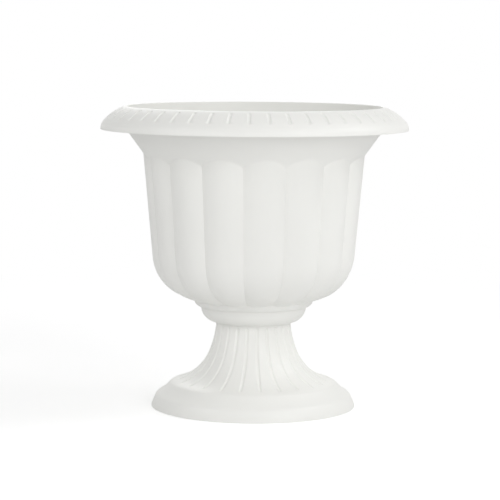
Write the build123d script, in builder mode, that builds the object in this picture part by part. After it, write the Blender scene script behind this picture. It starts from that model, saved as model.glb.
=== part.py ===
from build123d import *
import os
from math import cos, radians, sin, sqrt, tan

# Two-piece garden urn: a lobed bowl bolted on a waisted pedestal. Z is up and the ground is at zero.
# Outlines are drawn as radius and height in the XZ plane and turned about Z.
urn_height = 470.0
joint_height = 133.0

# Pedestal. A share pair places a corner between the neck's radius and the foot's, and up to the joint
pedestal_wall = 3.0
foot_radius = 160.0
foot_land = 2.0
neck_radius = 58.5
neck_land = 3.0
neck_lean = 5.4
waist_shares = (0.1054, 0.6481)
flare_shares = (0.5704, 0.3128)
shoulder_shares = (0.7074, 0.2797)
step_shares = (0.803, 0.203)
plinth_shares = (0.931, 0.1429)
shoulder_round = 11.0
plinth_round = 12.0
groove_count = 24
groove_width = 4.8
groove_depth = 1.5
groove_round = 2.2
groove_runout = 4.0

# Socket in the pedestal's top, closed by a deck, for the bowl's spigot
socket_depth = 6.0
deck_thickness = 4.0
spigot_clearance = 0.3

# Bowl, from the joint up
bowl_wall = 3.0
lower_tier_height = 24.5
lower_tier_round_share = 0.98
upper_tier_overhang = 11.0
upper_tier_round_share = 0.955
upper_tier_height = 9.5
belly_rise = 56.0
belly_round = 72.7
belly_inset = 18.7
lobe_top_radius = 173.2
lobe_count = 16
lobe_radius = 55.0
lobe_depth = 30.0
lobe_overlap = 6.0
core_inset = 20.0
neck_tuck = 0.5
neck_base_drop_share = 3.543
cavetto_round = 20.0
cavetto_lean = 36.0
neck_height = 73.0
throat_overhang = 28.8
throat_round = 25.0

# Rim: a hollow roll, open underneath, with short grooves across its roof
rim_wall = 3.0
rim_reach = 37.8
crease_inset = 4.4
crease_drop = 22.5
band_height = 13.0
roof_round = 80.0
band_round = 22.0
lip_round = 1.2
dash_count = 48
dash_width = 5.6
dash_depth = 1.8
dash_round = 2.6
dash_start_share = 0.145
dash_end_share = 0.833

# Drain holes in the bowl's floor, with their plugs, and wider ones in the deck below them
drain_count = 4
drain_circle_share = 0.6126
drain_radius = 8.0
drain_clearance = 0.3
deck_drain_margin = 4.5
plug_flange_lip = 3.0
plug_flange_thickness = 2.5
plug_stem_length = 5.0
plug_taper = 0.6
plug_tab_width = 12.0
plug_tab_height = 9.0
plug_tab_thickness = 3.5
plug_tab_round = 4.0

# Bolt, washers and wing nut
bolt_radius = 4.0
bolt_length = 30.0
bolt_head_width = 13.0
bolt_head_height = 5.3
bolt_hole_clearance = 0.3
seal_radius = 13.0
seal_thickness = 2.0
washer_radius = 12.0
washer_thickness = 1.6
nut_clearance = 0.05
nut_radius = 8.0
nut_tip_radius = 6.5
nut_height = 8.0
wing_reach = 16.0
wing_height = 14.0
wing_tip_round = 4.5
wing_root_round = 2.0
wing_thickness = 2.4

cut_overrun = 20.0

deck_top = joint_height - socket_depth
deck_bottom = deck_top - deck_thickness
floor_top = deck_top + bowl_wall
socket_radius = neck_radius - pedestal_wall
spigot_radius = socket_radius - spigot_clearance
drain_circle_radius = socket_radius * drain_circle_share
bolt_hole_radius = bolt_radius + bolt_hole_clearance
lower_tier_round = lower_tier_height * lower_tier_round_share
lower_tier_radius = neck_radius + lower_tier_round
upper_tier_radius = lower_tier_radius + upper_tier_overhang
upper_tier_round = upper_tier_overhang * upper_tier_round_share
tier_step_height = joint_height + lower_tier_height
lobe_top_height = urn_height - neck_height
lobe_pitch = 360 / lobe_count

# A lobe's crest runs from its foot round the belly to its top
lobe_foot = Vector(upper_tier_radius, tier_step_height + upper_tier_height)
belly = Vector(lobe_top_radius - belly_inset, joint_height + belly_rise)
lobe_top = Vector(lobe_top_radius, lobe_top_height)
spreading = (belly - lobe_foot).normalized()
rising = (lobe_top - belly).normalized()


def valley_radius(height):
    """Radius of the valley between two lobes at a height on their straight part."""
    crest = lobe_top_radius - (lobe_top_height - height) * rising.X / rising.Y
    centre = crest - lobe_radius
    across = centre * sin(radians(lobe_pitch / 2))
    return centre * cos(radians(lobe_pitch / 2)) + sqrt(lobe_radius**2 - across**2)


def wall_face(corners, rounds, wall):
    """Corners and corner radii of an outline after it moves to its left by the wall's thickness."""
    runs = [(after - before).normalized() for before, after in zip(corners, corners[1:])]
    sides = [run.rotate(Axis.Z, 90) for run in runs]
    moved = [corners[0] + sides[0] * wall]
    for corner, side_in, side_out in zip(corners[1:], sides, sides[1:]):
        moved.append(corner + (side_in + side_out) * wall / (1 + side_in.dot(side_out)))
    moved.append(corners[-1] + sides[-1] * wall)
    hands = [1 if side.dot(run) < 0 else -1 for side, run in zip(sides, runs[1:])]
    inner_rounds = [radius and radius + wall * hand for radius, hand in zip(rounds, hands)]
    return moved, inner_rounds


# Core of the bowl: floor, collar, a middle that the lobes hide, neck and throat
throat_radius = lobe_top_radius + throat_overhang
valley_depth = lobe_top_radius - valley_radius(lobe_top_height)
neck_base_height = lobe_top_height - valley_depth * neck_base_drop_share
neck_base_radius = valley_radius(neck_base_height) - neck_tuck
cavetto_height = lobe_top_height - (lobe_top_radius - neck_base_radius) / tan(radians(cavetto_lean))
throat_height = lobe_top_height + throat_overhang / tan(radians(cavetto_lean))
core_corners = [
    Vector(0, deck_top),
    Vector(spigot_radius, deck_top),
    Vector(spigot_radius, joint_height),
    Vector(lower_tier_radius, joint_height),
    Vector(lower_tier_radius, tier_step_height),
    Vector(upper_tier_radius, tier_step_height),
    lobe_foot + Vector(0, core_inset),
    belly + Vector(-core_inset, core_inset),
    Vector(lobe_top_radius - core_inset, neck_base_height),
    Vector(neck_base_radius, neck_base_height),
    Vector(neck_base_radius, cavetto_height),
    Vector(throat_radius, throat_height),
]
core_rounds = [0, 0, lower_tier_round, 0, upper_tier_round, 0, 0, 0, 0, cavetto_round, throat_round]


def core(corners, rounds):
    """Solid of revolution inside an outline that starts on the axis."""
    with BuildPart() as turned:
        with BuildSketch(Plane.XZ):
            with BuildLine():
                outline = FilletPolyline(*corners, radius=rounds)
                Polyline(outline @ 1, (0, (outline @ 1).Y), outline @ 0)
            make_face()
        revolve(axis=Axis.Z)
    return turned.part


def lobes(inset):
    """Ring of lobes, each a bar swept up its crest and cut to its share of the circle."""
    start = lobe_foot - spreading * lobe_overlap
    end = lobe_top + rising * lobe_overlap
    upright = [Plane.XZ.from_local_coords(point) for point in (start, belly, end)]
    with BuildPart() as lobe:
        with BuildLine() as crest:
            FilletPolyline(*upright, radius=belly_round)
        with BuildSketch(Plane(origin=crest.line @ 0, x_dir=(0, 1, 0), z_dir=crest.line % 0)):
            with Locations((0, lobe_radius)):
                Circle(lobe_radius - inset)
            Rectangle(2 * lobe_radius, 2 * (lobe_depth + inset), mode=Mode.INTERSECT)
        sweep()
        split(bisect_by=Plane.XZ.rotated((0, 0, lobe_pitch / 2)), keep=Keep.TOP)
        split(bisect_by=Plane.XZ.rotated((0, 0, -lobe_pitch / 2)), keep=Keep.BOTTOM)
    with BuildPart() as ring:
        with PolarLocations(0, lobe_count):
            add(lobe.part)
    return ring.part


def channel_bar(edges, width, depth, corner_round):
    """Bar with rounded ends that cuts one channel along an outline, half of it under the surface."""
    with BuildPart() as bar:
        with BuildSketch(Plane.XZ):
            trace(edges, line_width=2 * depth)
        extrude(amount=width / 2, both=True)
        fillet(bar.edges().group_by(SortBy.LENGTH)[0], corner_round)
    return bar.part


# The rim's roof and the short grooves across it
lip = Vector(throat_radius, urn_height)
skirt = lip + Vector(rim_reach, -crease_drop - band_height)
crease = skirt + Vector(-crease_inset, band_height)
roof = RadiusArc(lip, crease, roof_round)
dash_run = roof.trim(dash_start_share, dash_end_share)

above_lip = Vector(throat_radius, urn_height + cut_overrun)
outer_core = core(core_corners + [lip], core_rounds)
inner_core = core(*wall_face(core_corners + [above_lip], core_rounds, bowl_wall))
outer_lobes = lobes(0)
inner_lobes = lobes(bowl_wall)
dash_bar = channel_bar([dash_run], dash_width, dash_depth, dash_round)

with BuildPart() as bowl:
    add(outer_core)
    add(outer_lobes)
    add(inner_core, mode=Mode.SUBTRACT)
    add(inner_lobes, mode=Mode.SUBTRACT)
    with BuildSketch(Plane.XZ):
        with BuildLine():
            add(roof)
            RadiusArc(crease, skirt, band_round)
            offset(amount=rim_wall, side=Side.RIGHT)
        make_face()
    revolve(axis=Axis.Z)
    lip_edge = bowl.edges().group_by(Axis.Z)[-1].sort_by(SortBy.RADIUS)[0]
    fillet(lip_edge, lip_round)
    with PolarLocations(0, dash_count):
        add(dash_bar, mode=Mode.SUBTRACT)
    with Locations(Plane.XY.offset(floor_top)):
        Hole(bolt_hole_radius, bowl_wall)
        with PolarLocations(drain_circle_radius, drain_count):
            Hole(drain_radius, bowl_wall)


def pedestal_corner(shares):
    """A corner of the pedestal's outline, from its pair of shares."""
    return Vector(neck_radius + (foot_radius - neck_radius) * shares[0], joint_height * shares[1])


# The stem's two arcs, tangent to each other, from under its neck down to the flare's end
stem_lean = (sin(radians(neck_lean)), -cos(radians(neck_lean)))
stem_top = (neck_radius, joint_height - neck_land)
upper_stem = TangentArc(stem_top, pedestal_corner(waist_shares), tangent=stem_lean)
lower_stem = TangentArc(upper_stem @ 1, pedestal_corner(flare_shares), tangent=upper_stem % 1)
groove_end = Line(lower_stem @ 1, lower_stem @ 1 + lower_stem % 1 * groove_runout)
stem_bar = channel_bar([upper_stem, lower_stem, groove_end], groove_width, groove_depth, groove_round)

with BuildPart() as pedestal:
    with BuildSketch(Plane.XZ):
        with BuildLine():
            Line((neck_radius, joint_height), stem_top)
            add([upper_stem, lower_stem])
            FilletPolyline(
                lower_stem @ 1,
                pedestal_corner(shoulder_shares),
                pedestal_corner(step_shares),
                pedestal_corner(plinth_shares),
                (foot_radius, foot_land),
                (foot_radius, 0),
                radius=[shoulder_round, 0, plinth_round, 0],
            )
            offset(amount=pedestal_wall, side=Side.RIGHT)
        make_face()
    revolve(axis=Axis.Z)
    with BuildSketch(Plane.XY.offset(deck_bottom)):
        Circle(neck_radius - pedestal_wall / 2)
    extrude(amount=deck_thickness)
    with PolarLocations(0, groove_count):
        add(stem_bar, mode=Mode.SUBTRACT)
    with Locations(Plane.XY.offset(deck_top)):
        Hole(bolt_hole_radius, deck_thickness)
        with PolarLocations(drain_circle_radius, drain_count):
            Hole(drain_radius + deck_drain_margin, deck_thickness)

# The bolt comes down through the bowl's floor and the deck, on a rubber washer
seal_top = floor_top + seal_thickness
with BuildPart() as sealing_washer:
    with BuildSketch(Plane.XY.offset(floor_top)):
        Circle(seal_radius)
        Circle(bolt_hole_radius, mode=Mode.SUBTRACT)
    extrude(amount=seal_thickness)

with BuildPart() as fixing_bolt:
    with BuildSketch(Plane.XY.offset(seal_top)):
        RegularPolygon(bolt_head_width / 2, 6, major_radius=False)
    extrude(amount=bolt_head_height)
    with BuildSketch(Plane.XY.offset(seal_top)):
        Circle(bolt_radius)
    extrude(amount=-bolt_length)

washer_bottom = deck_bottom - washer_thickness
with BuildPart() as flat_washer:
    with BuildSketch(Plane.XY.offset(washer_bottom)):
        Circle(washer_radius)
        Circle(bolt_hole_radius, mode=Mode.SUBTRACT)
    extrude(amount=washer_thickness)

with BuildPart() as wing_nut:
    with BuildSketch(Plane.XY.offset(washer_bottom)):
        Circle(nut_radius)
    with BuildSketch(Plane.XY.offset(washer_bottom - nut_height)):
        Circle(nut_tip_radius)
    loft()
    with BuildSketch(Plane.XZ):
        with Locations((wing_reach - wing_tip_round, washer_bottom - wing_height + wing_tip_round)):
            Circle(wing_tip_round)
        with Locations((nut_tip_radius - wing_root_round, washer_bottom - nut_height / 2)):
            Circle(wing_root_round)
        make_hull()
        mirror(about=Plane.YZ)
    extrude(amount=wing_thickness / 2, both=True)
    with Locations(Plane.XY.offset(washer_bottom)):
        Hole(bolt_radius + nut_clearance, nut_height)


def drain_plug(turn):
    """Tapered plug with a flange and a pull tab, in the drain hole at a turn about Z."""
    upright = Plane.XZ.rotated((0, 0, turn))
    upright.origin = upright.from_local_coords((drain_circle_radius, floor_top))
    stem_radius = drain_radius - drain_clearance
    flange_radius = drain_radius + plug_flange_lip
    with BuildPart() as plug:
        with BuildSketch(upright):
            with BuildLine():
                Polyline(
                    (0, -plug_stem_length),
                    (stem_radius - plug_taper, -plug_stem_length),
                    (stem_radius, 0),
                    (flange_radius, 0),
                    (flange_radius, plug_flange_thickness),
                    (0, plug_flange_thickness),
                    close=True,
                )
            make_face()
        revolve(axis=Axis(upright.origin, (0, 0, 1)))
        with BuildSketch(upright) as tab:
            with Locations((0, plug_flange_thickness)):
                Rectangle(plug_tab_width, plug_tab_height, align=(Align.CENTER, Align.MIN))
            fillet(tab.vertices().group_by(Axis.Y)[-1], plug_tab_round)
        extrude(amount=plug_tab_thickness / 2, both=True)
    return plug


os.makedirs("parts", exist_ok=True)
pieces = {
    "bowl": bowl,
    "pedestal": pedestal,
    "fixing_bolt": fixing_bolt,
    "sealing_washer": sealing_washer,
    "flat_washer": flat_washer,
    "wing_nut": wing_nut,
}
for index in range(drain_count):
    pieces[f"drain_plug_{index + 1}"] = drain_plug(360 / drain_count * index)
for name, piece in pieces.items():
    piece.part.label = name
    export_step(piece.part, f"parts/{name}.step")
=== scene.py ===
import logging
import math
from collections.abc import Callable, Iterator, Sequence
from contextlib import contextmanager
from dataclasses import dataclass, field
from enum import Enum

import bpy
from mathutils import Matrix, Vector


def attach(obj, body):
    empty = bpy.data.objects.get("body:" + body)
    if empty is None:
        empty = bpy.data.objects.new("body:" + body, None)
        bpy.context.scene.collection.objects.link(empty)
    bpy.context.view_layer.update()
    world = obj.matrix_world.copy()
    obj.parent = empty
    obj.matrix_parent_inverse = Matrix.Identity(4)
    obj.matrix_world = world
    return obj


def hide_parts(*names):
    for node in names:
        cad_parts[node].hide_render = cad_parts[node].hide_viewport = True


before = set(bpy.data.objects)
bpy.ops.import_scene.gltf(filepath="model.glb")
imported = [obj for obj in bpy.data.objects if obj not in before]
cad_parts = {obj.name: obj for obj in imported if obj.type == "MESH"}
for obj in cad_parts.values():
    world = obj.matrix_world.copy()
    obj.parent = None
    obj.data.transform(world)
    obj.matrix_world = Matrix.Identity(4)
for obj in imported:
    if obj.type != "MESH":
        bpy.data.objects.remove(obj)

LOG = logging.getLogger("garden_urn")
FULL_TURN = 2 * math.pi
HALVINGS = 50  # when a crossing is looked for
HOLE_SIDES = 48  # of a drilled hole
SLIVER = 0.000002  # edges shorter than this are taken out of a drilled mesh
MOTTLE_DETAIL = 4.0
GRAIN_DETAIL = 2.0


class Slot(Enum):
    """Material slots of the record that the pieces take their finish from."""

    PLASTIC = "urn_plastic"
    STEEL = "plated_steel"
    RUBBER = "black_rubber"


# ---- Outlines: a point is a distance from the axis (x) and a height (y). All lengths are in
# metres, and all angles in radians where nothing else is said


def left_of(direction: Vector) -> Vector:
    """The direction a quarter turn to the left of another."""
    return Vector((-direction.y, direction.x))


def swung(start: Vector, centre: Vector, turn: float, steps: int) -> list[Vector]:
    """Points along an arc.

    Args:
        start: First point of the arc.
        centre: Centre of the arc.
        turn: Signed angle that the arc covers, in radians.
        steps: Number of equal steps.

    Returns:
        The points, both ends among them.
    """
    arm = start - centre
    return [centre + Matrix.Rotation(turn * k / steps, 2) @ arm for k in range(steps + 1)]


def bulge(start: Vector, end: Vector, radius: float) -> tuple[Vector, float]:
    """The arc between two points that stands out to the left of the line between them.

    Args:
        start: First point.
        end: Last point.
        radius: The arc's radius.

    Returns:
        The arc's centre, and the signed angle that it covers in radians.
    """
    half = (end - start) / 2
    rise = math.sqrt(radius**2 - half.length_squared)
    centre = start + half - left_of(half.normalized()) * rise
    return centre, -2 * math.asin(half.length / radius)


def rounded(corners: Sequence[Vector], rounds: Sequence[float], chord: float) -> list[Vector]:
    """An outline through corners, with arcs at the corners that have a radius.

    Args:
        corners: Corners of the outline, its ends among them.
        rounds: Radius at each corner between the ends, or 0 to keep it sharp.
        chord: Longest step along an arc.

    Returns:
        The outline's points.
    """
    points = [corners[0]]
    for before, corner, after, radius in zip(corners, corners[1:], corners[2:], rounds):
        if radius == 0:
            points.append(corner)
            continue
        inward, outward = (corner - before).normalized(), (after - corner).normalized()
        turn = math.atan2(inward.x * outward.y - inward.y * outward.x, inward.dot(outward))
        start = corner - inward * radius * math.tan(abs(turn) / 2)
        centre = start + left_of(inward) * math.copysign(radius, turn)
        steps = max(2, math.ceil(radius * abs(turn) / chord))
        points.extend(swung(start, centre, turn, steps))
    points.append(corners[-1])
    return points


def tangent_arc(start: Vector, heading: Vector, end: Vector, chord: float) -> list[Vector]:
    """Points of the arc that leaves a point in a heading and reaches another point.

    Args:
        start: First point.
        heading: Unit direction of the arc at its first point.
        end: Last point.
        chord: Longest step along the arc.

    Returns:
        The points, both ends among them.
    """
    side, span = left_of(heading), end - start
    radius = span.length_squared / (2 * span.dot(side))
    turn = 2 * math.atan2(span.dot(side), span.dot(heading))
    steps = max(2, math.ceil(abs(radius * turn) / chord))
    return swung(start, start + side * radius, turn, steps)


def moved(points: Sequence[Vector], wall: float) -> list[Vector]:
    """An outline after it moves to its left, or to its right for a negative distance.

    Args:
        points: The outline.
        wall: How far it moves.

    Returns:
        One point for each point of the outline.
    """
    sides = [left_of((after - before).normalized()) for before, after in zip(points, points[1:])]
    result = [points[0] + sides[0] * wall]
    for point, first, second in zip(points[1:], sides, sides[1:]):
        result.append(point + (first + second) * (wall / (1 + first.dot(second))))
    result.append(points[-1] + sides[-1] * wall)
    return result


def inner_rounds(corners: Sequence[Vector], rounds: Sequence[float], wall: float) -> list[float]:
    """Corner radii of an outline after it moves to its left by a wall's thickness.

    Args:
        corners: Corners of the outline, its ends among them.
        rounds: Radius at each corner between the ends, or 0 where it is sharp.
        wall: How far the outline moves.

    Returns:
        The new radii.
    """
    result = []
    for before, corner, after, radius in zip(corners, corners[1:], corners[2:], rounds):
        inward, outward = corner - before, after - corner
        turns_left = inward.x * outward.y - inward.y * outward.x > 0
        result.append(radius and radius + (-wall if turns_left else wall))
    return result


class Track:
    """An outline measured along its length."""

    def __init__(self, points: Sequence[Vector]) -> None:
        """Measures the outline.

        Args:
            points: The outline's points.
        """
        self.points = list(points)
        self.lengths = [0.0]
        for before, after in zip(self.points, self.points[1:]):
            self.lengths.append(self.lengths[-1] + (after - before).length)

    def at(self, length: float) -> Vector:
        """The point at a length from the outline's start.

        Args:
            length: The length, which may lie past either end.

        Returns:
            The point, on the first or last straight where the length is past an end.
        """
        last = len(self.points) - 2
        k = next((k for k in range(last) if length <= self.lengths[k + 1]), last)
        share = (length - self.lengths[k]) / (self.lengths[k + 1] - self.lengths[k])
        return self.points[k].lerp(self.points[k + 1], share)

    def length_at(self, height: float) -> float:
        """The length at which an outline that only rises passes a height.

        Args:
            height: The height.

        Returns:
            The length, kept between the outline's ends.
        """
        for k, (before, after) in enumerate(zip(self.points, self.points[1:])):
            if before.y <= height <= after.y and after.y > before.y:
                share = (height - before.y) / (after.y - before.y)
                return self.lengths[k] + share * (self.lengths[k + 1] - self.lengths[k])
        return self.lengths[-1] if height > self.points[-1].y else 0.0

    def short_of(self, length: float) -> list[Vector]:
        """The outline's own points that come before a length."""
        return [point for point, at in zip(self.points, self.lengths) if at < length]

    def between(self, start: float, end: float, count: int) -> list[Vector]:
        """Evenly spaced points from one length to another, both ends among them."""
        return [self.at(start + (end - start) * k / count) for k in range(count + 1)]


def crossing(difference: Callable[[float], float], low: float, high: float) -> float:
    """Where a function changes sign, found by halving.

    Args:
        difference: The function.
        low: One end of the range, where its sign is unlike that at the other end.
        high: The other end.

    Returns:
        The place of the change.
    """
    rising = difference(high) > 0
    for _ in range(HALVINGS):
        middle = (low + high) / 2
        if (difference(middle) > 0) == rising:
            high = middle
        else:
            low = middle
    return (low + high) / 2


# ---- Meshes


def clear_selection() -> None:
    """Leaves nothing selected."""
    bpy.ops.object.select_all(action="DESELECT")


def pick(piece: bpy.types.Object) -> None:
    """Selects one piece alone and makes it the active one.

    Args:
        piece: The piece.
    """
    clear_selection()
    piece.select_set(True)
    bpy.context.view_layer.objects.active = piece


@contextmanager
def editing(piece: bpy.types.Object) -> Iterator[None]:
    """Holds a piece in edit mode with all of it selected, and leaves edit mode at the end.

    Args:
        piece: The piece.
    """
    pick(piece)
    bpy.ops.object.mode_set(mode="EDIT")
    bpy.ops.mesh.select_all(action="SELECT")
    yield
    bpy.ops.object.mode_set(mode="OBJECT")


def spin_section(name: str, section: Sequence[Vector], columns: int) -> bpy.types.Object:
    """A closed shell of revolution: a ring of vertices shaped to a section, then spun about Z.

    Args:
        name: Name of the piece.
        section: The wall's closed section, one point for each row of the shell.
        columns: Number of columns round the axis.

    Returns:
        The piece, whose vertices go column by column, clockwise seen from above.
    """
    clear_selection()
    bpy.ops.mesh.primitive_circle_add(vertices=len(section))
    piece = bpy.context.object
    piece.name = piece.data.name = name
    for vertex, point in zip(piece.data.vertices, section):
        vertex.co = (point.x, 0, point.y)
    with editing(piece):
        bpy.ops.mesh.spin(
            steps=columns,
            angle=FULL_TURN,
            use_auto_merge=True,
            center=(0, 0, 0),
            axis=(0, 0, 1),
        )
    return piece


def face_outwards(piece: bpy.types.Object, smooth_angle: float) -> None:
    """Rids a closed piece of slivers, turns its faces outwards and smooths its shading.

    Args:
        piece: The piece.
        smooth_angle: Edges sharper than this stay crisp, in radians.
    """
    with editing(piece):
        bpy.ops.mesh.remove_doubles(threshold=SLIVER)
        bpy.ops.mesh.dissolve_degenerate(threshold=SLIVER)
        bpy.ops.mesh.normals_make_consistent(inside=False)
    bpy.ops.object.shade_smooth_by_angle(angle=smooth_angle)


def drill(
    piece: bpy.types.Object, radius: float, centres: Sequence[Vector], depth: float
) -> None:
    """Cuts upright round holes through a piece.

    Args:
        piece: The piece to cut.
        radius: The holes' radius.
        centres: Middle of each hole.
        depth: Length of the cutters.
    """
    clear_selection()
    cutters = []
    for centre in centres:
        bpy.ops.mesh.primitive_cylinder_add(
            vertices=HOLE_SIDES, radius=radius, depth=depth, location=centre
        )
        cutters.append(bpy.context.object)
    for cutter in cutters:
        cutter.select_set(True)
    bpy.ops.object.join()
    cutter = bpy.context.object
    cut = piece.modifiers.new("holes", "BOOLEAN")
    cut.object, cut.operation, cut.solver = cutter, "DIFFERENCE", "EXACT"
    pick(piece)
    bpy.ops.object.modifier_apply(modifier=cut.name)
    bpy.data.objects.remove(cutter)


def around(count: int, radius: float, height: float) -> list[Vector]:
    """Evenly spaced places round the axis, the first on +X."""
    turns = (FULL_TURN * k / count for k in range(count))
    return [Vector((radius * math.cos(turn), radius * math.sin(turn), height)) for turn in turns]


@dataclass
class Notches:
    """Evenly spaced channels across an outline, and the columns of a mesh that run along them.

    Attributes:
        count: Number of channels.
        columns: Number of columns all round.
        near: Distance from a channel's middle of each column that is drawn close to it.
        half_width: Half of a channel's width, and the radius of its round ends.
        depth: Its depth in the middle.
    """

    count: int
    columns: int
    near: tuple[float, ...]
    half_width: float
    depth: float

    @property
    def per_notch(self) -> int:
        """Number of columns from one channel's middle to the next one's."""
        return self.columns // self.count

    def offset(self, column: int) -> int:
        """How many columns a column lies from the middle of the nearest channel."""
        half = self.per_notch // 2
        return (column + half) % self.per_notch - half

    def azimuth(self, column: int, radius: float) -> float:
        """The turn about Z of a column, close together at the channels.

        Args:
            column: Number of the column.
            radius: Distance from the axis at which it is wanted.

        Returns:
            The turn from the first channel, in radians.
        """
        offset = self.offset(column)
        middle = FULL_TURN * (column - offset) / self.columns
        rank = abs(offset)
        if rank == 0:
            return middle
        if rank <= len(self.near):
            return middle + math.copysign(math.asin(self.near[rank - 1] / radius), offset)
        edge, half_pitch = math.asin(self.near[-1] / radius), math.pi / self.count
        share = (rank - len(self.near)) / (self.per_notch / 2 - len(self.near))
        return middle + math.copysign(edge + (half_pitch - edge) * share, offset)

    def depth_at(self, column: int, overhang: float) -> float:
        """How deep the channel is at a column.

        Args:
            column: Number of the column.
            overhang: Distance past the middle of the channel's round end, or 0 between its ends.

        Returns:
            Depth under the surface, which falls off as a hollow curve to the channel's sides.
        """
        rank = abs(self.offset(column))
        if rank > len(self.near):
            return 0.0
        side = self.near[rank - 1] if rank else 0.0
        share = math.hypot(side, max(overhang, 0.0)) / self.half_width
        return self.depth * (1 - share**2) if share < 1 else 0.0


# ---- Pieces


@dataclass
class Component:
    """A visible piece that stands for one CAD node.

    Attributes:
        node: The CAD node.
        body: The CAD body that the piece rides on.
        slot: The record's material slot.
    """

    node: str
    body: str
    slot: Slot

    def make(self) -> bpy.types.Object:
        """Models the piece, which each kind of component does in its own way."""
        raise NotImplementedError

    def dress(self, piece: bpy.types.Object, material: bpy.types.Material) -> None:
        """Gives the piece its finish and its body, and hides the CAD node that it stands for.

        Args:
            piece: The finished mesh.
            material: Its material.
        """
        piece.data.materials.clear()
        piece.data.materials.append(material)
        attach(piece, self.body)
        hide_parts(self.node)
        faces = len(piece.data.polygons)
        LOG.info("%s stands for %s on %s: %d faces", piece.name, self.node, self.body, faces)


@dataclass
class Bowl(Component):
    """The lobed bowl with its collar, neck and rolled rim."""

    node: str = "bowl"
    body: str = "urn"
    slot: Slot = Slot.PLASTIC
    wall: float = 0.003

    # Floor and collar
    floor_bottom: float = 0.127
    joint: float = 0.133
    bolt_hole: float = 0.0043
    spigot: float = 0.0552
    lower_tier: Vector = field(default_factory=lambda: Vector((0.0825, 0.1575)))
    upper_tier_radius: float = 0.0935
    upper_tier_rise: float = 0.020  # past the lobes' foot, inside them
    tier_rounds: tuple[float, float] = (0.024, 0.0105)
    drain_radius: float = 0.008
    drain_circle: float = 0.034
    drains: int = 4

    # Lobes, whose crest runs from the foot round the belly to the top
    lobes: int = 16
    lobe_radius: float = 0.055
    foot: Vector = field(default_factory=lambda: Vector((0.0935, 0.167)))
    belly: Vector = field(default_factory=lambda: Vector((0.1545, 0.189)))
    lobe_top: Vector = field(default_factory=lambda: Vector((0.1732, 0.397)))
    belly_round: float = 0.0727

    # Neck, from inside the lobes' tops to the throat
    neck_base_drop: float = 0.026
    neck_tuck: float = 0.0005
    cavetto_round: float = 0.020
    cavetto_lean: float = math.radians(36)
    throat_radius: float = 0.202
    throat_round: float = 0.025

    # Rim: the lip, a bulging roof down to the crease, and the band down to the skirt
    lip_height: float = 0.470
    lip_round: float = 0.0012
    crease: Vector = field(default_factory=lambda: Vector((0.2354, 0.4475)))
    skirt: Vector = field(default_factory=lambda: Vector((0.2398, 0.4345)))
    roof_round: float = 0.080
    band_round: float = 0.022
    edge_round: float = 0.0006
    dash_start: float = 0.0059  # the notches' ends, from the lip along the roof
    dash_end: float = 0.0339

    # Where the mesh's rows lie
    columns: int = 480
    chord: float = 0.003
    collar_run: float = 0.0315  # end of the collar's outline that is shared out in even rows
    collar_gap: float = 0.0005  # least distance from it to the row before
    arch_run: float = 0.030  # top of the lobes' crest with rows close together
    foot_search: tuple[float, float] = (-0.008, 0.018)  # along the crest, from its foot
    arch_search: tuple[float, float] = (-0.019, 0.006)  # along the crest, from its top
    neck_split: float = 0.406  # height under which the rows follow the arches
    dash_end_steps: tuple[float, ...] = (-0.0004, 0.0, 0.0003, 0.0008, 0.0014, 0.0022)
    dash_steps: int = 8
    band_steps: int = 6
    under_steps: int = 8
    outer_steps: tuple[int, ...] = (8, 4, 16, 6, 10, 9, 14)
    inner_steps: tuple[int, ...] = (5, 3, 11, 4, 7, 6, 9)
    smooth_angle: float = math.radians(38)

    def __post_init__(self) -> None:
        """Measures the crest and the outlines that the sizes give."""
        self.dashes = Notches(
            count=48,
            columns=self.columns,
            near=(0.0012, 0.0023, 0.0031),
            half_width=0.0031,
            depth=0.0018,
        )
        self.lower_run = (self.belly - self.foot).normalized()
        self.upper_run = (self.lobe_top - self.belly).normalized()
        self.belly_turn = self.lower_run.angle(self.upper_run)
        tangent = self.belly_round * math.tan(self.belly_turn / 2)
        upper_length = (self.lobe_top - self.belly).length - tangent
        self.lower_length = (self.belly - self.foot).length - tangent
        self.bend_length = self.belly_round * self.belly_turn
        self.crest_length = self.lower_length + self.bend_length + upper_length
        self.bend_centre = self.foot + self.lower_run * self.lower_length
        self.bend_centre += left_of(self.lower_run) * self.belly_round
        self.outer_tracks, self.inner_tracks = self.tracks(0.0), self.tracks(self.wall)
        self.lip = Vector((self.throat_radius, self.lip_height))
        self.roof_centre, self.roof_turn = bulge(self.lip, self.crease, self.roof_round)
        self.roof_stations = self.roof_rows()
        self.rim_points = self.rim()

    def crest(self, length: float) -> tuple[Vector, Vector]:
        """A place on a lobe's crest.

        Args:
            length: Distance from the lobe's foot along its crest.

        Returns:
            The point, and the direction that faces out of the bowl there.
        """
        if length < self.lower_length:
            return self.foot + self.lower_run * length, -left_of(self.lower_run)
        past_bend = length - self.lower_length - self.bend_length
        if past_bend > 0:
            point = self.bend_centre - left_of(self.upper_run) * self.belly_round
            return point + self.upper_run * past_bend, -left_of(self.upper_run)
        turn = (length - self.lower_length) / self.belly_round
        outward = Matrix.Rotation(turn, 2) @ -left_of(self.lower_run)
        return self.bend_centre + outward * self.belly_round, outward

    def lobe(self, length: float, azimuth: float, inset: float) -> Vector:
        """A place on a lobe's round back.

        Args:
            length: Distance from the lobe's foot along its crest.
            azimuth: Turn from the lobe's crest about the axis, in radians.
            inset: How far inside the lobe's outer face the place is.

        Returns:
            The point on the outline at that azimuth.
        """
        point, outward = self.crest(length)
        centre = point - outward * self.lobe_radius
        radius = self.lobe_radius - inset
        across, along = radius * math.cos(azimuth), radius * outward.x * math.sin(azimuth)
        reach = centre.x * math.sin(azimuth) / math.hypot(across, along)
        swing = math.asin(reach) + math.atan2(along, across)
        forward = centre.x + radius * math.cos(swing) * outward.x
        height = centre.y + radius * math.cos(swing) * outward.y
        return Vector((math.hypot(forward, radius * math.sin(swing)), height))

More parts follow.
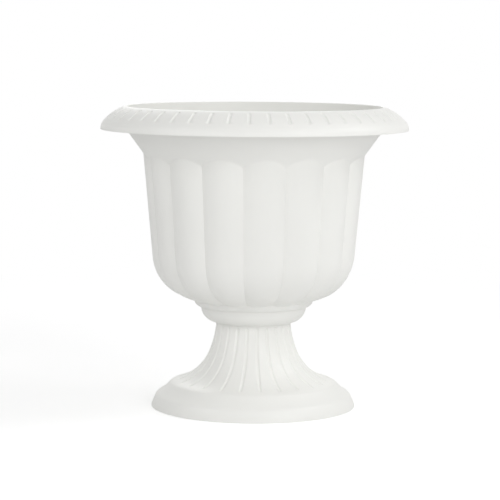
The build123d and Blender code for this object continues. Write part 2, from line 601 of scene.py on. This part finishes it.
    def lobed_wall(self, base: Track, neck: Track, azimuth: float, inset: float) -> list[Vector]:
        """The part of the section from the collar over a lobe to the neck.

        Args:
            base: Outline of the collar, which ends inside the lobes.
            neck: Outline of the neck, which starts inside the lobes.
            azimuth: Turn from the lobe's crest, in radians.
            inset: How far inside the outer face this outline is.

        Returns:
            The points, as many for every azimuth.
        """

        def beyond(track: Track, length: float) -> float:
            """How far the lobe stands outside a track at a length along its crest."""
            point = self.lobe(length, azimuth, inset)
            return point.x - track.at(track.length_at(point.y)).x

        low = crossing(lambda length: beyond(base, length), *self.foot_search)
        top = self.crest_length
        arch_range = (top + step for step in self.arch_search)
        high = crossing(lambda length: beyond(neck, length), *arch_range)
        base_end = base.length_at(self.lobe(low, azimuth, inset).y)
        neck_start = neck.length_at(self.lobe(high, azimuth, inset).y)
        bend_end = self.lower_length + self.bend_length
        knots = [low, self.lower_length, bend_end, top - self.arch_run, high]
        rows = self.inner_steps if inset else self.outer_steps
        base_steps, *crest_steps, neck_steps, _ = rows
        points = base.between(base.lengths[-1] - self.collar_run, base_end, base_steps)
        for start, end, steps in zip(knots, knots[1:], crest_steps):
            for k in range(1, steps + 1):
                points.append(self.lobe(start + (end - start) * k / steps, azimuth, inset))
        neck_end = neck.length_at(self.neck_split)
        return points + neck.between(neck_start, neck_end, neck_steps)[1:]

    def tracks(self, inset: float) -> tuple[Track, Track]:
        """Outlines of the collar and of the neck.

        Args:
            inset: How far inside the outer face they are.

        Returns:
            The collar's outline and the neck's, both rising.
        """
        valley = self.valley_radius()
        top_radius, top = self.lobe_top
        base = [
            Vector((self.bolt_hole, self.floor_bottom)),
            Vector((self.spigot, self.floor_bottom)),
            Vector((self.spigot, self.joint)),
            Vector((self.lower_tier.x, self.joint)),
            self.lower_tier,
            Vector((self.upper_tier_radius, self.lower_tier.y)),
            Vector((self.upper_tier_radius, self.foot.y + self.upper_tier_rise)),
        ]
        base_rounds = [0, 0, self.tier_rounds[0], 0, self.tier_rounds[1]]
        lean = math.tan(self.cavetto_lean)
        neck = [
            Vector((valley, top - self.neck_base_drop)),
            Vector((valley, top - (top_radius - valley) / lean)),
            Vector((self.throat_radius, top + (self.throat_radius - top_radius) / lean)),
            Vector((self.throat_radius, self.lip_height)),
        ]
        neck_rounds = [self.cavetto_round, self.throat_round]
        if inset:
            base_rounds = inner_rounds(base, base_rounds, inset)
            neck_rounds = inner_rounds(neck, neck_rounds, inset)
            base, neck = moved(base, inset), moved(neck, inset)
        collar = Track(rounded(base, base_rounds, self.chord))
        return collar, Track(rounded(neck, neck_rounds, self.chord))

    def valley_radius(self) -> float:
        """Radius of the neck where it starts.

        Returns:
            The radius, just inside the valleys between the lobes.
        """
        lean = self.upper_run.x / self.upper_run.y
        centre = self.lobe_top.x - self.neck_base_drop * lean - self.lobe_radius
        half_pitch = math.pi / self.lobes
        reach = math.sqrt(self.lobe_radius**2 - (centre * math.sin(half_pitch)) ** 2)
        return centre * math.cos(half_pitch) + reach - self.neck_tuck

    def roof_rows(self) -> list[float]:
        """Where the rows of the rim's roof lie, close together at the notches' ends.

        Returns:
            Distances from the lip along the roof.
        """
        stations = {0.0, self.dash_start / 2, -self.roof_turn * self.roof_round}
        for end, side in ((self.dash_start, 1), (self.dash_end, -1)):
            stations.update(end + side * step for step in self.dash_end_steps)
        start = self.dash_start + self.dash_end_steps[-1]
        run = self.dash_end - self.dash_end_steps[-1] - start
        stations.update(start + run * k / self.dash_steps for k in range(1, self.dash_steps))
        return sorted(stations)

    def rim(self) -> list[Vector]:
        """The rim's section from the neck's outer face, under the roof and up over it to the lip.

        Returns:
            The points, those of the roof last.
        """
        arm = self.lip - self.roof_centre
        turns = (-station / self.roof_round for station in self.roof_stations)
        roof = [self.roof_centre + Matrix.Rotation(turn, 2) @ arm for turn in turns]
        band_centre, band_turn = bulge(self.crease, self.skirt, self.band_round)
        band = swung(self.crease, band_centre, band_turn, self.band_steps)[1:]
        outer = roof + band
        coarse_roof = swung(roof[0], self.roof_centre, self.roof_turn, self.under_steps)
        under = moved(coarse_roof + band, -self.wall)
        slope = (under[1] - under[0]).normalized()
        start = under[0] + slope * ((self.throat_radius - under[0].x) / slope.x)
        clear = self.throat_radius + self.wall / 3
        under = [start] + [point for point in under if point.x > clear]
        edge = [under[-2], under[-1], outer[-1], outer[-2]]
        bottom = rounded(edge, [self.edge_round] * 2, self.edge_round / 2)
        return under[:-1] + bottom[1:-1] + outer[-3::-1]

    def outer_wall(self, azimuth: float) -> list[Vector]:
        """The outer face's outline up to the rim.

        Args:
            azimuth: Turn from a lobe's crest, in radians.

        Returns:
            The points from the bolt's hole upwards, as many for every azimuth.
        """
        base, neck = self.outer_tracks
        points = base.short_of(base.lengths[-1] - self.collar_run - self.collar_gap)
        points += self.lobed_wall(base, neck, azimuth, 0.0)
        split, rim_start = neck.length_at(self.neck_split), neck.length_at(self.rim_points[0].y)
        return points + neck.between(split, rim_start, self.outer_steps[-1])[1:-1]

    def inner_wall(self, azimuth: float) -> list[Vector]:
        """The inner face's outline up to the lip.

        Args:
            azimuth: Turn from a lobe's crest, in radians.

        Returns:
            The points from the bolt's hole upwards, as many for every azimuth.
        """
        base, neck = self.inner_tracks
        points = base.short_of(base.lengths[-1] - self.collar_run - self.collar_gap)
        points += self.lobed_wall(base, neck, azimuth, self.wall)
        below_lip = neck.length_at(self.lip_height - 2 * self.lip_round)
        split = neck.length_at(self.neck_split)
        return points + neck.between(below_lip, split, self.inner_steps[-1])[-2::-1]

    def section(self, azimuth: float) -> list[Vector]:
        """The wall's closed section.

        Args:
            azimuth: Turn from a lobe's crest, in radians.

        Returns:
            The points: up the outer face, round the rim and the lip, and down the inner face.
        """
        inner_lip = Vector((self.throat_radius - self.wall, self.lip_height))
        corners = [self.lip, inner_lip, inner_lip - Vector((0, self.wall))]
        lip = rounded(corners, [self.lip_round], self.lip_round / 3)[1:-1]
        return self.outer_wall(azimuth) + self.rim_points + lip + self.inner_wall(azimuth)[::-1]

    def make(self) -> bpy.types.Object:
        """Spins the bowl, swells its lobes, notches its rim and drills its drain holes.

        Returns:
            The finished mesh object.
        """
        # Half a lobe's sections serve all round, in turn forwards and backwards
        per_lobe = self.columns // self.lobes
        half = per_lobe // 2
        sections = [self.section(FULL_TURN * k / self.columns) for k in range(half + 1)]
        rows = len(sections[0])
        piece = spin_section("urn_bowl", sections[0], self.columns)
        rim_start = len(self.outer_wall(0.0))
        roof_end = rim_start + len(self.rim_points)
        roof_start = roof_end - len(self.roof_stations) + 1
        for index, vertex in enumerate(piece.data.vertices):
            column, row = divmod(index, rows)
            point = sections[abs((column + half) % per_lobe - half)][row]
            if rim_start <= row < roof_end:
                turn = self.dashes.azimuth(column, point.x)
            else:
                turn = FULL_TURN * column / self.columns
            if roof_start <= row < roof_end:
                point = self.notched(point, column, self.roof_stations[roof_end - 1 - row])
            vertex.co = (point.x * math.cos(turn), -point.x * math.sin(turn), point.y)
        middle = self.floor_bottom + self.wall / 2
        holes = around(self.drains, self.drain_circle, middle)
        drill(piece, self.drain_radius, holes, 2 * self.wall)
        face_outwards(piece, self.smooth_angle)
        return piece

    def notched(self, point: Vector, column: int, station: float) -> Vector:
        """A point of the roof after the notches are pressed in.

        Args:
            point: The point on the plain roof.
            column: Its column.
            station: Its distance from the lip along the roof.

        Returns:
            The point on the notched roof.
        """
        first = self.dash_start + self.dashes.half_width
        last = self.dash_end - self.dashes.half_width
        depth = self.dashes.depth_at(column, max(first - station, station - last))
        return point - (point - self.roof_centre).normalized() * depth


@dataclass
class Pedestal(Component):
    """The waisted foot with its grooved stem, and the deck that the bowl is bolted to."""

    node: str = "pedestal"
    body: str = "urn"
    slot: Slot = Slot.PLASTIC
    wall: float = 0.003

    # Socket and deck
    joint: float = 0.133
    socket_depth: float = 0.006
    deck: float = 0.004
    bolt_hole: float = 0.0043
    drain_radius: float = 0.0125
    drain_circle: float = 0.034
    drains: int = 4
    deck_taper: float = 0.0003  # the deck's lower corner, which keeps the wall's rows in line

    # Outline, from the neck to the ground
    neck_radius: float = 0.0585
    neck_land: float = 0.003
    neck_lean: float = math.radians(5.4)
    waist: Vector = field(default_factory=lambda: Vector((0.0692, 0.0862)))
    flare: Vector = field(default_factory=lambda: Vector((0.1164, 0.0416)))
    shoulder: Vector = field(default_factory=lambda: Vector((0.1303, 0.0372)))
    step: Vector = field(default_factory=lambda: Vector((0.140, 0.027)))
    plinth: Vector = field(default_factory=lambda: Vector((0.153, 0.019)))
    foot: Vector = field(default_factory=lambda: Vector((0.160, 0.002)))
    shoulder_round: float = 0.011
    plinth_round: float = 0.012
    edge_round: float = 0.0005
    groove_runout: float = 0.004  # how far the grooves run past the flare

    # Where the mesh's rows and columns lie
    columns: int = 480
    chord: float = 0.0028
    least_step: float = 0.0001
    start_steps: tuple[float, ...] = (-0.0004, 0.0, 0.0006, 0.0012, 0.002)
    end_steps: tuple[float, ...] = (0.0022, 0.0016, 0.001, 0.0005, 0.0, -0.0004)
    gather_past: float = 0.012  # how far past the grooves the columns stay gathered at them
    smooth_angle: float = math.radians(40)

    def __post_init__(self) -> None:
        """Measures the outline and sets out the grooves."""
        self.grooves = Notches(
            count=24,
            columns=self.columns,
            near=(0.0010, 0.0019, 0.0026, 0.0031),
            half_width=0.0031,
            depth=0.0018,
        )
        self.outline = Track(self.outer())
        flare_at = self.outline.lengths[self.outline.points.index(self.flare)]
        self.groove_start, self.groove_end = self.neck_land, flare_at + self.groove_runout
        self.stations = self.outer_rows()

    def outer(self) -> list[Vector]:
        """The outer face's outline.

        Returns:
            The points from the top of the neck to the ground.
        """
        top = Vector((self.neck_radius, self.joint - self.neck_land))
        heading = Vector((math.sin(self.neck_lean), -math.cos(self.neck_lean)))
        upper = tangent_arc(top, heading, self.waist, self.chord)
        side = (self.waist - top).normalized()
        heading = 2 * heading.dot(side) * side - heading
        lower = tangent_arc(self.waist, heading, self.flare, self.chord)
        ground = Vector((self.foot.x, 0))
        corners = [self.flare, self.shoulder, self.step, self.plinth, self.foot, ground]
        rounds = [self.shoulder_round, 0, self.plinth_round, self.edge_round]
        foot = rounded(corners, rounds, self.chord)
        return [Vector((self.neck_radius, self.joint))] + upper + lower[1:] + foot[1:]

    def outer_rows(self) -> list[float]:
        """Where the rows of the outer face lie, close together at the grooves' ends.

        Returns:
            Distances along the outline from the top of the neck.
        """
        starts = (self.groove_start + step for step in self.start_steps)
        ends = (self.groove_end - step for step in self.end_steps)
        rows = sorted({*self.outline.lengths, *ends, *starts})
        after = rows[1:] + [math.inf]
        return [a for a, b in zip(rows, after) if b - a > self.least_step]

    def section(self) -> list[Vector]:
        """The closed section of the wall and the deck.

        Returns:
            The points: down the outer face, up the inner face, and round the deck.
        """
        deck_top = self.joint - self.socket_depth
        deck_bottom = deck_top - self.deck
        outer = [self.outline.at(station) for station in self.stations]
        inner = moved(self.outline.points, -self.wall)
        inner = [point for point in inner if point.y < deck_bottom - self.wall / 2]
        socket = self.neck_radius - self.wall
        under = [
            Vector((socket + self.deck_taper, deck_bottom)),
            Vector((self.bolt_hole, deck_bottom)),
            Vector((self.bolt_hole, deck_top)),
            Vector((socket, deck_top)),
            Vector((socket, self.joint - self.edge_round)),
            Vector((socket + self.edge_round, self.joint)),
        ]
        return outer + inner[::-1] + under

    def make(self) -> bpy.types.Object:
        """Spins the pedestal, presses in its grooves and drills its deck.

        Returns:
            The finished mesh object.
        """
        section = self.section()
        rows = len(section)
        piece = spin_section("urn_pedestal", section, self.columns)
        outer = Track(section[: len(self.stations)])
        sides = []
        for at in outer.lengths:
            chord = outer.at(at + self.least_step) - outer.at(at - self.least_step)
            sides.append(left_of(chord.normalized()))
        first = self.groove_start + self.grooves.half_width
        last = self.groove_end - self.grooves.half_width
        for index, vertex in enumerate(piece.data.vertices):
            column, row = divmod(index, rows)
            point = section[row]
            turn = FULL_TURN * column / self.columns
            grooved = row < len(self.stations)
            if grooved and self.stations[row] < self.groove_end + self.gather_past:
                turn = self.grooves.azimuth(column, point.x)
                overhang = max(first - self.stations[row], self.stations[row] - last)
                point = point - sides[row] * self.grooves.depth_at(column, overhang)
            vertex.co = (point.x * math.cos(turn), -point.x * math.sin(turn), point.y)
        middle = self.joint - self.socket_depth - self.deck / 2
        holes = around(self.drains, self.drain_circle, middle)
        drill(piece, self.drain_radius, holes, 2 * self.deck)
        face_outwards(piece, self.smooth_angle)
        return piece


@dataclass
class Fitting(Component):
    """A small piece whose CAD shape is right, with its edges eased.

    Attributes:
        bevel: Width of the eased edges.
        weld: Corners of the CAD mesh nearer than this are merged.
        flat_angle: Faces that meet at less than this become one.
        bevel_angle: Edges sharper than this are eased.
        bevel_steps: Rows of faces that round an edge.
        smooth_angle: Edges sharper than this stay crisp.
    """

    bevel: float
    weld: float = 0.00001
    flat_angle: float = math.radians(1)
    bevel_angle: float = math.radians(40)
    bevel_steps: int = 2
    smooth_angle: float = math.radians(35)

    def make(self) -> bpy.types.Object:
        """Copies the CAD mesh, merges it and rounds its edges.

        Returns:
            The finished mesh object.
        """
        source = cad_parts[self.node]
        piece = bpy.data.objects.new(f"{self.node}_finished", source.data.copy())
        bpy.context.scene.collection.objects.link(piece)
        with editing(piece):
            bpy.ops.mesh.remove_doubles(threshold=self.weld)
            bpy.ops.mesh.dissolve_limited(angle_limit=self.flat_angle)
        ease = piece.modifiers.new("ease", "BEVEL")
        ease.width, ease.segments = self.bevel, self.bevel_steps
        ease.limit_method, ease.angle_limit = "ANGLE", self.bevel_angle
        bpy.ops.object.modifier_apply(modifier=ease.name)
        bpy.ops.object.shade_smooth_by_angle(angle=self.smooth_angle)
        return piece


# ---- Finishes


def grain_group() -> bpy.types.NodeTree:
    """The shader group that gives every finish its mottling and fine surface grain.

    Returns:
        A group with scale and strength inputs, and a mottle value and a height as outputs.
    """
    group = bpy.data.node_groups.new("surface_grain", "ShaderNodeTree")
    sockets = {
        "INPUT": ("Mottle Scale", "Grain Scale", "Grain Share"),
        "OUTPUT": ("Mottle", "Height"),
    }
    for way, names in sockets.items():
        for name in names:
            group.interface.new_socket(name, in_out=way, socket_type="NodeSocketFloat")
    nodes, links = group.nodes, group.links
    inputs, outputs = nodes.new("NodeGroupInput"), nodes.new("NodeGroupOutput")
    place = nodes.new("ShaderNodeTexCoord")
    mottle, grain = nodes.new("ShaderNodeTexNoise"), nodes.new("ShaderNodeTexNoise")
    mottle.inputs["Detail"].default_value = MOTTLE_DETAIL
    grain.inputs["Detail"].default_value = GRAIN_DETAIL
    mix = nodes.new("ShaderNodeMix")
    links.new(place.outputs["Object"], mottle.inputs["Vector"])
    links.new(place.outputs["Object"], grain.inputs["Vector"])
    links.new(inputs.outputs["Mottle Scale"], mottle.inputs["Scale"])
    links.new(inputs.outputs["Grain Scale"], grain.inputs["Scale"])
    links.new(inputs.outputs["Grain Share"], mix.inputs["Factor"])
    links.new(mottle.outputs["Fac"], mix.inputs["A"])
    links.new(grain.outputs["Fac"], mix.inputs["B"])
    links.new(mottle.outputs["Fac"], outputs.inputs["Mottle"])
    links.new(mix.outputs["Result"], outputs.inputs["Height"])
    return group


@dataclass(frozen=True)
class Finish:
    """A moulded, plated or rubber surface, with a little mottling in its colour and gloss.

    Attributes:
        name: Name of the material.
        dark: Colour where the mottling is darkest.
        light: Colour where it is lightest.
        rough_low: Least roughness.
        rough_high: Greatest roughness.
        metallic: 1 for metal, else 0.
        mottle_scale: Mottles per metre.
        grain_scale: Grains per metre.
        grain_share: The grain's share of the surface's relief, the mottling having the rest.
        relief: Height of the relief in metres.
    """

    name: str
    dark: tuple[float, float, float]
    light: tuple[float, float, float]
    rough_low: float
    rough_high: float
    metallic: float
    mottle_scale: float
    grain_scale: float
    grain_share: float
    relief: float

    def material(self, grain: bpy.types.NodeTree) -> bpy.types.Material:
        """Builds the material.

        Args:
            grain: The shared grain group.

        Returns:
            The material.
        """
        material = bpy.data.materials.new(self.name)
        material.use_nodes = True
        nodes, links = material.node_tree.nodes, material.node_tree.links
        shader = nodes["Principled BSDF"]
        surface = nodes.new("ShaderNodeGroup")
        surface.node_tree = grain
        surface.inputs["Mottle Scale"].default_value = self.mottle_scale
        surface.inputs["Grain Scale"].default_value = self.grain_scale
        surface.inputs["Grain Share"].default_value = self.grain_share
        tint = nodes.new("ShaderNodeMix")
        tint.data_type = "RGBA"
        tint.inputs["A"].default_value = (*self.dark, 1)
        tint.inputs["B"].default_value = (*self.light, 1)
        gloss = nodes.new("ShaderNodeMapRange")
        gloss.inputs["To Min"].default_value = self.rough_low
        gloss.inputs["To Max"].default_value = self.rough_high
        bump = nodes.new("ShaderNodeBump")
        bump.inputs["Strength"].default_value = 1.0
        bump.inputs["Distance"].default_value = self.relief
        links.new(surface.outputs["Mottle"], tint.inputs["Factor"])
        links.new(surface.outputs["Mottle"], gloss.inputs["Value"])
        links.new(surface.outputs["Height"], bump.inputs["Height"])
        links.new(tint.outputs["Result"], shader.inputs["Base Color"])
        links.new(gloss.outputs["Result"], shader.inputs["Roughness"])
        links.new(bump.outputs["Normal"], shader.inputs["Normal"])
        shader.inputs["Metallic"].default_value = self.metallic
        return material


FINISHES = {
    Slot.PLASTIC: Finish(
        name="white_moulded_plastic",
        dark=(0.863, 0.863, 0.834),
        light=(0.886, 0.886, 0.857),
        rough_low=0.40,
        rough_high=0.52,
        metallic=0.0,
        mottle_scale=9,
        grain_scale=1500,
        grain_share=0.75,
        relief=0.00005,
    ),
    Slot.STEEL: Finish(
        name="zinc_plated_steel",
        dark=(0.46, 0.46, 0.45),
        light=(0.66, 0.66, 0.64),
        rough_low=0.26,
        rough_high=0.46,
        metallic=1.0,
        mottle_scale=260,
        grain_scale=2600,
        grain_share=0.6,
        relief=0.00003,
    ),
    Slot.RUBBER: Finish(
        name="black_rubber",
        dark=(0.018, 0.018, 0.018),
        light=(0.04, 0.04, 0.039),
        rough_low=0.62,
        rough_high=0.85,
        metallic=0.0,
        mottle_scale=150,
        grain_scale=2200,
        grain_share=0.8,
        relief=0.00005,
    ),
}


# ---- Studio


def math_node(nodes: bpy.types.Nodes, operation: str) -> bpy.types.Node:
    """Adds a Math node.

    Args:
        nodes: The material's nodes.
        operation: What the node does.

    Returns:
        The node.
    """
    node = nodes.new("ShaderNodeMath")
    node.operation = operation
    return node


@dataclass(frozen=True)
class Lamp:
    """A square soft lamp that faces the middle of the urn.

    Attributes:
        name: Name of the lamp.
        side: Its direction from the urn, in degrees to the right of the front.
        rise: Its height above the level of its aim, in degrees.
        power: Its power in watts.
        distance: How far it hangs from its aim.
        size: Length of its sides.
    """

    name: str
    side: float
    rise: float
    power: float
    distance: float = 3.2
    size: float = 1.4

    def hang(self, aim: Vector) -> None:
        """Places the lamp.

        Args:
            aim: The place that it faces.
        """
        turn, slope = math.radians(self.side), math.radians(self.rise)
        level = Vector((math.sin(turn), -math.cos(turn), 0)) * math.cos(slope)
        place = aim + (level + Vector((0, 0, math.sin(slope)))) * self.distance
        data = bpy.data.lights.new(self.name, "AREA")
        data.shape, data.size, data.energy = "SQUARE", self.size, self.power
        lamp = bpy.data.objects.new(self.name, data)
        bpy.context.scene.collection.objects.link(lamp)
        lamp.location = place
        lamp.rotation_mode = "QUATERNION"
        lamp.rotation_quaternion = (aim - place).to_track_quat("-Z", "Y")


LAMPS = (
    Lamp("front", side=-10, rise=12, power=9),
    Lamp("key", side=30, rise=20, power=22),
    Lamp("left", side=-60, rise=30, power=15),
    Lamp("right", side=85, rise=40, power=22),
    Lamp("back", side=180, rise=30, power=17),
)


@dataclass
class Studio:
    """Pale floor, white surroundings, soft lamps and a camera at the photograph's viewpoint.

    Attributes:
        camera_distance: How far the camera stands in front of the urn's axis.
        camera_height: Its height above the floor.
        camera_side: How far it stands to the right.
        aim_height: Height of the place that the camera and the lamps face.
        lens: The camera's focal length in millimetres.
        roll: Its turn about its line of sight.
        turn: Its turn about the urn's axis.
        floor_hole: Radius of the opening under the hollow foot.
        floor_reach: Radius of the floor.
        floor_sides: Number of straight sides of its round edges.
        floor_fade: Distances from the axis between which the floor turns white to the camera.
        floor_tone: Lightness of the floor's paint.
        floor_lift: Light that the floor adds to what the camera sees of it, 1 being white.
        world_strength: Strength of the light from the surroundings on the object.
    """

    camera_distance: float = 3.1344
    camera_height: float = 0.5889
    camera_side: float = -0.00612
    aim_height: float = 0.2451
    lens: float = 144.85
    roll: float = math.radians(0.372)
    turn: float = math.radians(-5.3)
    floor_hole: float = 0.1594
    floor_reach: float = 20.0
    floor_sides: int = 96
    floor_fade: tuple[float, float] = (0.7, 1.7)
    floor_tone: float = 0.9
    floor_lift: float = 0.30
    world_strength: float = 0.45

    def camera(self) -> None:
        """Places the camera at the photograph's viewpoint."""
        pitch = math.atan2(self.camera_height - self.aim_height, self.camera_distance)
        forward = Vector((0, math.cos(pitch), -math.sin(pitch)))
        right = Vector((1, 0, 0))
        up = right.cross(forward)
        rolled_right = right * math.cos(self.roll) + up * math.sin(self.roll)
        rolled_up = up * math.cos(self.roll) - right * math.sin(self.roll)
        place = Vector((self.camera_side, -self.camera_distance, self.camera_height))
        pose = Matrix((rolled_right, rolled_up, -forward)).transposed().to_4x4()
        data = bpy.data.cameras.new("camera")
        data.lens = self.lens
        camera = bpy.data.objects.new("camera", data)
        bpy.context.scene.collection.objects.link(camera)
        camera.matrix_world = Matrix.Rotation(self.turn, 4, "Z") @ Matrix.Translation(place) @ pose
        bpy.context.scene.camera = camera

    def floor(self) -> None:
        """Lays the floor, which keeps the object's shadow and fades into the white surroundings.

        It is open under the hollow foot and clear from below, so the underside can be seen.
        """
        clear_selection()
        bpy.ops.mesh.primitive_circle_add(vertices=self.floor_sides, radius=self.floor_hole)
        floor = bpy.context.object
        floor.name = "studio_floor"
        spread = self.floor_reach / self.floor_hole
        with editing(floor):
            bpy.ops.mesh.extrude_region_move()
            bpy.ops.transform.resize(value=(spread, spread, 1), center_override=(0, 0, 0))
        if floor.data.polygons[0].normal.z < 0:
            floor.data.flip_normals()
        floor.data.materials.append(self.floor_paint())

    def floor_paint(self) -> bpy.types.Material:
        """The floor's material.

        Returns:
            A pale paint near the object, plain white to the camera far away, clear from below.
        """
        material = bpy.data.materials.new("studio_floor")
        material.use_nodes = True
        nodes, links = material.node_tree.nodes, material.node_tree.links
        nodes.remove(nodes["Principled BSDF"])
        path, place = nodes.new("ShaderNodeLightPath"), nodes.new("ShaderNodeTexCoord")
        paint, glow = nodes.new("ShaderNodeBsdfDiffuse"), nodes.new("ShaderNodeEmission")
        paint.inputs["Color"].default_value = (self.floor_tone, self.floor_tone, self.floor_tone, 1)
        lift, seen = math_node(nodes, "MULTIPLY"), math_node(nodes, "MULTIPLY")
        lift.inputs[1].default_value = self.floor_lift
        near = nodes.new("ShaderNodeAddShader")
        links.new(path.outputs["Is Camera Ray"], lift.inputs[0])
        links.new(lift.outputs["Value"], glow.inputs["Strength"])
        links.new(paint.outputs["BSDF"], near.inputs[0])
        links.new(glow.outputs["Emission"], near.inputs[1])
        reach, fade = nodes.new("ShaderNodeVectorMath"), nodes.new("ShaderNodeMapRange")
        reach.operation, fade.interpolation_type = "LENGTH", "SMOOTHSTEP"
        fade.inputs["From Min"].default_value = self.floor_fade[0]
        fade.inputs["From Max"].default_value = self.floor_fade[1]
        links.new(place.outputs["Object"], reach.inputs[0])
        links.new(reach.outputs["Value"], fade.inputs["Value"])
        links.new(fade.outputs["Result"], seen.inputs[0])
        links.new(path.outputs["Is Camera Ray"], seen.inputs[1])
        white, above = nodes.new("ShaderNodeEmission"), nodes.new("ShaderNodeMixShader")
        links.new(seen.outputs["Value"], above.inputs["Fac"])
        links.new(near.outputs["Shader"], above.inputs[1])
        links.new(white.outputs["Emission"], above.inputs[2])
        side, clear = nodes.new("ShaderNodeNewGeometry"), nodes.new("ShaderNodeBsdfTransparent")
        surface = nodes.new("ShaderNodeMixShader")
        links.new(side.outputs["Backfacing"], surface.inputs["Fac"])
        links.new(above.outputs["Shader"], surface.inputs[1])
        links.new(clear.outputs["BSDF"], surface.inputs[2])
        links.new(surface.outputs["Shader"], nodes["Material Output"].inputs["Surface"])
        return material

    def world(self) -> None:
        """Makes the surroundings white to the camera and a plain soft light to the object."""
        world = bpy.data.worlds.new("studio")
        bpy.context.scene.world = world
        world.use_nodes = True
        nodes, links = world.node_tree.nodes, world.node_tree.links
        background, path = nodes["Background"], nodes.new("ShaderNodeLightPath")
        seen = math_node(nodes, "MAXIMUM")
        strength = nodes.new("ShaderNodeMapRange")
        strength.inputs["To Min"].default_value = self.world_strength
        strength.inputs["To Max"].default_value = 1.0
        links.new(path.outputs["Is Camera Ray"], seen.inputs[0])
        links.new(path.outputs["Is Glossy Ray"], seen.inputs[1])
        links.new(seen.outputs["Value"], strength.inputs["Value"])
        links.new(strength.outputs["Result"], background.inputs["Strength"])
        background.inputs["Color"].default_value = (1, 1, 1, 1)

    def make(self) -> None:
        """Builds the studio."""
        self.camera()
        self.floor()
        self.world()
        for lamp in LAMPS:
            lamp.hang(Vector((0, 0, self.aim_height)))
        bpy.context.scene.view_settings.view_transform = "Standard"


def main() -> None:
    logging.basicConfig(level=logging.INFO, format="%(name)s: %(message)s")
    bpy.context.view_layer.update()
    grain = grain_group()
    materials = {slot: finish.material(grain) for slot, finish in FINISHES.items()}
    components = [
        Bowl(),
        Pedestal(),
        Fitting("fixing_bolt", "urn", Slot.STEEL, bevel=0.0004),
        Fitting("flat_washer", "urn", Slot.STEEL, bevel=0.0002),
        Fitting("wing_nut", "wing_nut", Slot.STEEL, bevel=0.0004),
        Fitting("sealing_washer", "urn", Slot.RUBBER, bevel=0.0003),
    ]
    for k in range(1, Bowl.drains + 1):
        components.append(Fitting(f"drain_plug_{k}", f"plug_{k}", Slot.RUBBER, bevel=0.0005))
    for component in components:
        component.dress(component.make(), materials[component.slot])
    Studio().make()


if __name__ == "__main__":
    main()
